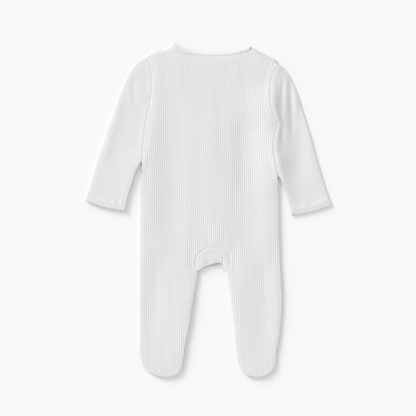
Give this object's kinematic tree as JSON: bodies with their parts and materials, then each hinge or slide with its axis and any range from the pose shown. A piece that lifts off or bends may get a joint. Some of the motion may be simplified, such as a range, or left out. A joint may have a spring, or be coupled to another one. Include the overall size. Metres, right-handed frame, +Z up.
{
  "type": "footed baby sleepsuit",
  "caption": "Long-sleeved footed sleepsuit in white rib-knit cotton with a snap front, laid flat on its front so that its back, crotch gusset and bound neck show.",
  "frame": {"origin": "middle of the overall box, on the surface that the garment lies on", "axes": "+Y from the feet to the neck, +X to the wearer's right side as the back is seen from above, +Z up from the surface"},
  "size_m": [0.421, 0.5697, 0.0059],
  "materials": {
    "rib_knit": "matte rib-knit cotton",
    "binding": "matte folded rib binding",
    "jersey": "matte plain jersey",
    "snap_resin": "satin moulded resin"
  },
  "bodies": {
    "root": {"back": "rib_knit", "crotch_gusset": "rib_knit", "sleeve_left": "rib_knit", "sleeve_right": "rib_knit", "front_left": "rib_knit", "front_right": "rib_knit", "foot_top_left": "rib_knit", "foot_top_right": "rib_knit", "neck_band": "binding", "placket": "jersey", "snap_1": "snap_resin", "snap_2": "snap_resin", "snap_3": "snap_resin", "snap_4": "snap_resin", "snap_5": "snap_resin", "snap_6": "snap_resin", "snap_7": "snap_resin"}
  },
  "joints": []
}
